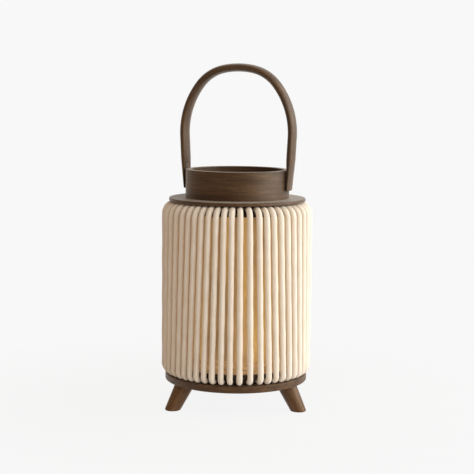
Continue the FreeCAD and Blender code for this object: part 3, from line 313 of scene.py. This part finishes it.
def cotton_rope():
    """Braided cotton cord, unbleached: crossing yarns, soft nap, and painted shade where the
    yarns dip between their crossings.
    """
    tree = Tree("cotton_rope")
    uv = tree.add("ShaderNodeUVMap", uv_map="rope")
    split = tree.add("ShaderNodeSeparateXYZ")
    tree.links.new(uv.outputs[0], split.inputs[0])
    around = tree.math("MULTIPLY", split.outputs[0], 2 * math.pi * BRAID_YARNS)
    along = tree.math("MULTIPLY", split.outputs[1], 2 * math.pi / BRAID_LENGTH)
    left = tree.math("SINE", tree.math("ADD", around, along))
    right = tree.math("SINE", tree.math("SUBTRACT", around, along))
    braid = tree.math("MULTIPLY", tree.math("ADD", tree.math("MAXIMUM", left, right), 1.0), 0.5)
    place = tree.add("ShaderNodeTexCoord").outputs["Object"]
    fibres = tree.noise(place, scale=2600.0, detail=3.0, roughness=0.7)
    patches = tree.noise(place, scale=70.0, detail=3.0, roughness=0.6)
    height = tree.math("ADD", braid, tree.math("MULTIPLY", fibres, 0.5))
    # painted shade: the braid's low places are darker and warmer
    groove_shade = tree.ramp(braid, (0.10, (0.75, 0.645, 0.52)), (0.70, (0.84, 0.75, 0.65)))
    warmth = tree.ramp(patches, (0.35, (0.95, 0.93, 0.90)), (0.65, (1.0, 1.0, 1.0)))
    tree.set_shader({
        "Base Color": tree.multiply_colours(1.0, groove_shade, warmth),
        "Roughness": 0.88,
        "Specular IOR Level": 0.1,
        "Sheen Weight": 0.05,
        "Sheen Roughness": 0.6,
    })
    tree.bump(height, distance=0.00010, strength=0.5)
    return tree.material


def lit_diffuser():
    """Parchment-like diffuser with long fibres, and a painted warm glow in streaks for the light
    from inside.
    """
    tree = Tree("lit_diffuser")
    along, across, depth = round_grain(tree, DRUM_RADIUS)
    fibre_vector = tree.join(along, tree.math("MULTIPLY", across, 0.25), depth)
    cloud_vector = tree.join(along, across, depth)
    glow_streak_vector = tree.join(along, tree.math("MULTIPLY", across, 0.04), 0.0)
    fibres = tree.noise(fibre_vector, scale=520.0, detail=4.0, roughness=0.6, distortion=0.4)
    clouds = tree.noise(cloud_vector, scale=38.0, detail=3.0, roughness=0.6)
    streaks = tree.noise(glow_streak_vector, scale=95.0, detail=2.0, roughness=0.5)
    tone = tree.sum_of_shares(fibres, 0.4, clouds, 0.6)
    tree.set_shader({
        "Base Color": tree.ramp(tone, (0.36, (0.46, 0.31, 0.16)), (0.64, (0.66, 0.47, 0.26))),
        # painted light: the glow's colour runs in amber streaks round the drum, as if more light
        # shows through there
        "Emission Color": tree.ramp(streaks, (0.44, (0.36, 0.24, 0.11)),
                                    (0.60, (1.0, 0.60, 0.14))),
        "Emission Strength": 0.26,
        "Roughness": 0.6,
    })
    tree.bump(fibres, distance=0.0001, strength=0.4)
    return tree.material


# ---------------------------------------------------------------- metals and plastics

def metal(name, colour, roughness):
    """Turned or stamped metal with fine scratches and uneven polish."""
    tree = Tree(name)
    place = tree.add("ShaderNodeTexCoord").outputs["Object"]
    scratches = tree.noise(place, scale=2200.0, detail=4.0, roughness=0.7)
    patches = tree.noise(place, scale=260.0, detail=3.0, roughness=0.6)
    darker = tuple(channel * 0.72 for channel in colour)
    tree.set_shader({
        "Base Color": tree.ramp(patches, (0.35, darker), (0.65, colour)),
        "Roughness": tree.ramp(scratches, (0.3, roughness * 0.8), (0.7, roughness * 1.25)),
        "Metallic": 1.0,
    })
    tree.bump(scratches, distance=0.00003, strength=0.4)
    return tree.material


def plastic(name, colour, roughness, glow=0.0):
    """Moulded plastic with a fine spark-eroded grain and a faint unevenness of tone."""
    tree = Tree(name)
    place = tree.add("ShaderNodeTexCoord").outputs["Object"]
    fine = tree.noise(place, scale=1400.0, detail=3.0, roughness=0.6)
    patches = tree.noise(place, scale=90.0, detail=2.0, roughness=0.5)
    darker = tuple(channel * 0.86 for channel in colour)
    shade = tree.ramp(patches, (0.3, darker), (0.7, colour))
    tree.set_shader({
        "Base Color": shade,
        "Roughness": tree.ramp(fine, (0.3, roughness * 0.85), (0.7, roughness * 1.15)),
    })
    if glow:
        tree.set_shader({"Emission Color": shade, "Emission Strength": glow})
    tree.bump(fine, distance=0.00004, strength=0.5)
    return tree.material


def leg_axis(node):
    """The way a leg runs, from the middles of its upper and lower ends."""
    points = [vertex.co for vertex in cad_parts[node].data.vertices]
    low = min(point.z for point in points)
    high = max(point.z for point in points)
    ends = []
    for level in (low, high):
        ring = [point for point in points if abs(point.z - level) < END_TOLERANCE]
        ends.append(sum(ring, Vector()) / len(ring))
    return ends[1] - ends[0]


def node_materials():
    """The material of each CAD node."""
    steel = metal("screw_steel", (0.58, 0.58, 0.57), 0.34)
    nickel = metal("nickel_plate", (0.72, 0.70, 0.65), 0.25)
    brass = metal("turned_brass", (0.70, 0.48, 0.20), 0.32)
    bronze = metal("bronzed_steel", (0.16, 0.11, 0.07), 0.38)
    aluminium = metal("milled_aluminium", (0.68, 0.69, 0.70), 0.36)
    white = plastic("white_moulding", (0.74, 0.73, 0.70), 0.5)
    black = plastic("black_moulding", (0.022, 0.022, 0.023), 0.45)
    red = plastic("red_lead_skin", (0.50, 0.03, 0.02), 0.4)
    hoop_grain = partial(round_grain, radius=HOOP_GRAIN_RADIUS)
    collar_grain = partial(round_grain, radius=COLLAR_GRAIN_RADIUS)
    base_grain = partial(straight_grain, direction=BASE_GRAIN)
    top_grain = partial(straight_grain, direction=TOP_GRAIN)
    materials = {
        # the base disc is a slightly lighter copy of the walnut with little sheen: partly a
        # lighter wood, partly painted light
        "base_disc": stained_wood("base_wood", base_grain, light=1.2, sheen=0.1),
        "top_disc": stained_wood("top_wood", top_grain),
        "lower_hoop": stained_wood("lower_hoop_wood", hoop_grain, light=0.45),
        "upper_hoop": stained_wood("upper_hoop_wood", hoop_grain, light=0.45),
        "collar": stained_wood("collar_wood", collar_grain),
        "handle_strap": stained_wood("handle_wood", arch_grain),
        "seat_ring": pale_wood(),
        "diffuser": lit_diffuser(),
        "leg_studs": steel,
        "tie_rods": steel,
        "lower_tie_screws": bronze,
        "upper_tie_screws": bronze,
        "collar_screws": bronze,
        "pivot_inserts": brass,
        "pivot_screws": bronze,
        "pivot_washers": bronze,
        "pivot_spacers": bronze,
        "module_housing": white,
        "module_screws": steel,
        "bottom_cover": black,
        "cover_screws": steel,
        "led_plate": aluminium,
        "led_board": plastic("white_board", (0.78, 0.78, 0.74), 0.35),
        "leds": plastic("phosphor", (0.85, 0.60, 0.10), 0.3, glow=0.8),
        "light_dome": plastic("opal_dome", (0.86, 0.82, 0.72), 0.42, glow=0.3),
        "dome_screws": steel,
        "driver_board": plastic("green_board", (0.02, 0.13, 0.05), 0.35),
        "battery_cradle": white,
        "battery_cell": plastic("cell_wrap", (0.03, 0.12, 0.40), 0.35),
        "cell_contacts": nickel,
        "button_cap": plastic("button_rubber", (0.10, 0.10, 0.095), 0.7),
        "switch_plunger": black,
        "switch_body": black,
        "button_spring": steel,
        "charging_socket": nickel,
        "socket_tongue": black,
        "led_lead": red,
        "cell_lead": red,
    }
    # the legs are a lighter copy of the walnut without sheen: partly a lighter, warmer wood,
    # partly painted light for how brightly they are lit
    for node in LEG_NODES:
        grain = partial(straight_grain, direction=leg_axis(node))
        materials[node] = stained_wood(node + "_wood", grain, light=2.0, sheen=0.0)
    return materials


def dress_nodes():
    """Gives every CAD node its material."""
    for name, material in node_materials().items():
        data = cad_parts[name].data
        data.materials.clear()
        data.materials.append(material)


# ---------------------------------------------------------------- rope strands

def strand_path():
    """Points of one strand's middle line as (radius, height, way along), from its lower end."""
    base_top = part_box("base_disc")[1][2]
    disc_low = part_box("top_disc")[0][2]
    line_radius = DRUM_RADIUS - ROPE_RADIUS
    low_centre = (line_radius - ROPE_LOW_BEND,
                  base_top + ROPE_LOW_GAP + ROPE_RADIUS + ROPE_LOW_BEND)
    high_centre = (line_radius - ROPE_HIGH_BEND,
                   disc_low - ROPE_HIGH_GAP - ROPE_RADIUS - ROPE_HIGH_BEND)
    points = [(low_centre[0] - ROPE_LOW_TAIL, low_centre[1] - ROPE_LOW_BEND)]
    points += bend(low_centre, ROPE_LOW_BEND, -90, 0, LOW_BEND_STEPS)
    rise = high_centre[1] - low_centre[1]
    steps = round(rise / ROPE_STEP)
    for step in range(1, steps):
        points.append((line_radius, low_centre[1] + rise * step / steps))
    points += bend(high_centre, ROPE_HIGH_BEND, 0, 90, HIGH_BEND_STEPS)
    points.append((high_centre[0] - ROPE_HIGH_TAIL, high_centre[1] + ROPE_HIGH_BEND))
    return points


def bend(centre, radius, first, last, steps):
    """Points on a round bend, from its first to its last angle in degrees."""
    points = []
    for step in range(steps + 1):
        turn = math.radians(first + (last - first) * step / steps)
        points.append((centre[0] + radius * math.cos(turn), centre[1] + radius * math.sin(turn)))
    return points


def hand_shift(angle, height):
    """How far a strand was set off its even place, in degrees, over the drum's middle."""
    bearing = (angle + 90.0 - CAMERA_TURN + 180.0) % 360.0 - 180.0
    radians = math.radians(bearing)
    lean = HAND_LEAN * 2 * math.sin(radians) * max(math.cos(radians), 0.0)
    shift = lean * height / LEAN_HEIGHT
    for middle, width, reach in HAND_SHIFTS:
        shift += reach * math.exp(-((bearing - middle) / width) ** 2)
    return shift


def add_strand(mesh, uv_layer, path, angle, number):
    """One strand's tube: rings square to its line, with a map round and along it."""
    middle = (path[0][1] + path[-1][1]) / 2
    rings = []
    travel = 0.0
    for index, (radius, height) in enumerate(path):
        before = path[max(index - 1, 0)]
        after = path[min(index + 1, len(path) - 1)]
        lean = math.atan2(after[1] - before[1], after[0] - before[0])
        if index:
            travel += math.dist(path[index - 1], path[index])
        swell = ROPE_SWELL * math.sin(travel * SWELL_RATE + number * SWELL_OFFSET)
        turn = Matrix.Rotation(math.radians(angle + hand_shift(angle, height - middle)), 3, "Z")
        ring = []
        for side in range(ROPE_SIDES):
            way = 2 * math.pi * side / ROPE_SIDES
            out = (ROPE_RADIUS - ROPE_SWELL + swell) * math.cos(way)
            across = (ROPE_RADIUS - ROPE_SWELL + swell) * math.sin(way)
            point = Vector((radius + out * math.sin(lean), across, height - out * math.cos(lean)))
            ring.append(mesh.verts.new(turn @ point))
        rings.append((ring, travel))
    for (low, low_travel), (high, high_travel) in zip(rings, rings[1:]):
        for side in range(ROPE_SIDES):
            after = (side + 1) % ROPE_SIDES
            face = mesh.faces.new((low[side], low[after], high[after], high[side]))
            face.smooth = True
            first = side / ROPE_SIDES
            second = (side + 1) / ROPE_SIDES
            corners = ((first, low_travel), (second, low_travel),
                       (second, high_travel), (first, high_travel))
            for loop, corner in zip(face.loops, corners):
                loop[uv_layer].uv = corner
    mesh.faces.new(list(reversed(rings[0][0])))
    mesh.faces.new(rings[-1][0])


def make_strands():
    """The rope strands, one piece for each group of the frame's strands."""
    material = cotton_rope()
    path = strand_path()
    group_size = STRAND_COUNT // len(STRAND_GROUPS)
    for group, node in enumerate(STRAND_GROUPS):
        mesh = bmesh.new()
        uv_layer = mesh.loops.layers.uv.new("rope")
        for member in range(group_size):
            number = group * group_size + member
            angle = FIRST_STRAND_ANGLE + number * 360.0 / STRAND_COUNT
            add_strand(mesh, uv_layer, path, angle, number)
        bmesh.ops.recalc_face_normals(mesh, faces=mesh.faces)
        data = bpy.data.meshes.new("braided_" + node)
        mesh.to_mesh(data)
        mesh.free()
        piece = bpy.data.objects.new("braided_" + node, data)
        bpy.context.scene.collection.objects.link(piece)
        data.materials.append(material)
        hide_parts(node)
        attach(piece, "lamp")


# ---------------------------------------------------------------- button spring

def make_button_spring():
    """The button's spring, a copy of the frame's spring on its own mesh."""
    node = "button_spring"
    piece = bpy.data.objects.new("coiled_" + node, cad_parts[node].data.copy())
    bpy.context.scene.collection.objects.link(piece)
    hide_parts(node)
    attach(piece, "lamp")
    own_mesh(piece)


# ---------------------------------------------------------------- camera, light and floor

def from_camera(turn, distance, height):
    """A point round the lamp: degrees to the camera's right, distance and height."""
    angle = math.radians(CAMERA_TURN - 90.0 + turn)
    return Vector((distance * math.cos(angle), distance * math.sin(angle), height))


def make_camera():
    """The photograph's camera."""
    data = bpy.data.cameras.new("camera")
    data.sensor_width = SENSOR_WIDTH
    data.lens = FOCAL_PIXELS / IMAGE_PIXELS * SENSOR_WIDTH
    camera = bpy.data.objects.new("camera", data)
    bpy.context.scene.collection.objects.link(camera)
    place = Matrix.Translation(from_camera(0.0, CAMERA_DISTANCE, CAMERA_HEIGHT))
    turn = Matrix.Rotation(math.radians(CAMERA_TURN), 4, "Z")
    tilt = Matrix.Rotation(math.radians(90.0 + CAMERA_TILT), 4, "X")
    roll = Matrix.Rotation(math.radians(CAMERA_ROLL), 4, "Z")
    camera.matrix_world = place @ turn @ tilt @ roll
    bpy.context.scene.camera = camera


def make_softbox(name, turn, distance, height, width, tall, power):
    """A rectangular soft light aimed at the drum's middle."""
    data = bpy.data.lights.new(name, "AREA")
    data.shape = "RECTANGLE"
    data.size = width
    data.size_y = tall
    data.energy = power
    data.color = DAYLIGHT
    light = bpy.data.objects.new(name, data)
    bpy.context.scene.collection.objects.link(light)
    light.location = from_camera(turn, distance, height)
    aim = Vector(LIGHT_AIM) - light.location
    light.rotation_euler = aim.to_track_quat("-Z", "Y").to_euler()


def background_shader(nodes, links, seen_colour, lit_shader, mirrored_share=None):
    """The seen colour for the camera, gloss and glass, and the lit shader for all other light.
    Gloss and glass may see a share of the seen colour only."""
    path = nodes.new("ShaderNodeLightPath")
    mirrored = nodes.new("ShaderNodeMath")
    mirrored.operation = "MAXIMUM"
    links.new(path.outputs["Is Glossy Ray"], mirrored.inputs[0])
    links.new(path.outputs["Is Transmission Ray"], mirrored.inputs[1])
    if mirrored_share:
        share = nodes.new("ShaderNodeMath")
        share.operation = "MULTIPLY"
        links.new(mirrored.outputs[0], share.inputs[0])
        links.new(mirrored_share, share.inputs[1])
        mirrored = share
    either = nodes.new("ShaderNodeMath")
    either.operation = "MAXIMUM"
    links.new(path.outputs["Is Camera Ray"], either.inputs[0])
    links.new(mirrored.outputs[0], either.inputs[1])
    mix = nodes.new("ShaderNodeMixShader")
    links.new(either.outputs[0], mix.inputs[0])
    links.new(lit_shader.outputs[0], mix.inputs[1])
    links.new(seen_colour.outputs[0], mix.inputs[2])
    return mix


def make_floor():
    """A pale floor that is white to the camera apart from the lamp's soft shadow."""
    mesh = bpy.data.meshes.new("floor")
    half = FLOOR_SIZE / 2
    corners = [(-half, -half, 0), (half, -half, 0), (half, half, 0), (-half, half, 0)]
    mesh.from_pydata(corners, [], [(0, 1, 2, 3)])
    floor = bpy.data.objects.new("floor", mesh)
    bpy.context.scene.collection.objects.link(floor)
    tree = Tree("pale_floor")
    tree.set_shader({
        "Base Color": (FLOOR_GREY, FLOOR_GREY, FLOOR_GREY, 1),
        "Roughness": 0.9,
        "Specular IOR Level": 0.0,
    })
    glow = tree.add("ShaderNodeEmission")
    glow.inputs["Color"].default_value = (BACKGROUND, BACKGROUND, BACKGROUND, 1)
    coordinates = tree.add("ShaderNodeTexCoord")
    distance = tree.add("ShaderNodeVectorMath", operation="LENGTH")
    tree.links.new(coordinates.outputs["Object"], distance.inputs[0])
    fade = tree.add("ShaderNodeMapRange", interpolation_type="SMOOTHSTEP")
    fade.inputs["From Min"].default_value = SHADOW_CORE
    fade.inputs["From Max"].default_value = SHADOW_RADIUS
    fade.inputs["To Min"].default_value = 1.0 - SHADOW_SHARE
    fade.inputs["To Max"].default_value = 1.0
    tree.links.new(distance.outputs["Value"], fade.inputs["Value"])
    blend = tree.add("ShaderNodeMixShader")
    tree.links.new(fade.outputs[0], blend.inputs[0])
    tree.links.new(tree.shader.outputs[0], blend.inputs[1])
    tree.links.new(glow.outputs[0], blend.inputs[2])
    mix = background_shader(tree.nodes, tree.links, blend, tree.shader)
    tree.links.new(mix.outputs[0], tree.nodes["Material Output"].inputs["Surface"])
    mesh.materials.append(tree.material)


def make_world():
    """A warm ambient light, and a pale backdrop for the camera, gloss and glass."""
    world = bpy.data.worlds.new("studio")
    bpy.context.scene.world = world
    world.use_nodes = True
    nodes = world.node_tree.nodes
    links = world.node_tree.links
    ambient = nodes["Background"]
    ambient.inputs["Color"].default_value = (*AMBIENT_COLOUR, 1)
    ambient.inputs["Strength"].default_value = AMBIENT_STRENGTH
    seen = nodes.new("ShaderNodeBackground")
    seen.inputs["Color"].default_value = (BACKGROUND, BACKGROUND, BACKGROUND, 1)
    coordinates = nodes.new("ShaderNodeTexCoord")
    towards = nodes.new("ShaderNodeVectorMath")
    towards.operation = "DOT_PRODUCT"
    links.new(coordinates.outputs["Generated"], towards.inputs[0])
    towards.inputs[1].default_value = from_camera(BACKDROP_TURN, 1.0, 0.0)
    backdrop = nodes.new("ShaderNodeMapRange")
    backdrop.interpolation_type = "SMOOTHSTEP"
    backdrop.inputs["From Min"].default_value = BACKDROP_LIMITS[0]
    backdrop.inputs["From Max"].default_value = BACKDROP_LIMITS[1]
    links.new(towards.outputs["Value"], backdrop.inputs["Value"])
    mix = background_shader(nodes, links, seen, ambient, backdrop.outputs[0])
    links.new(mix.outputs[0], nodes["World Output"].inputs["Surface"])


bpy.context.scene.view_settings.view_transform = "Standard"
make_camera()
make_world()
make_floor()
for softbox in SOFTBOXES:
    make_softbox(*softbox)
dress_nodes()
make_strands()
make_button_spring()
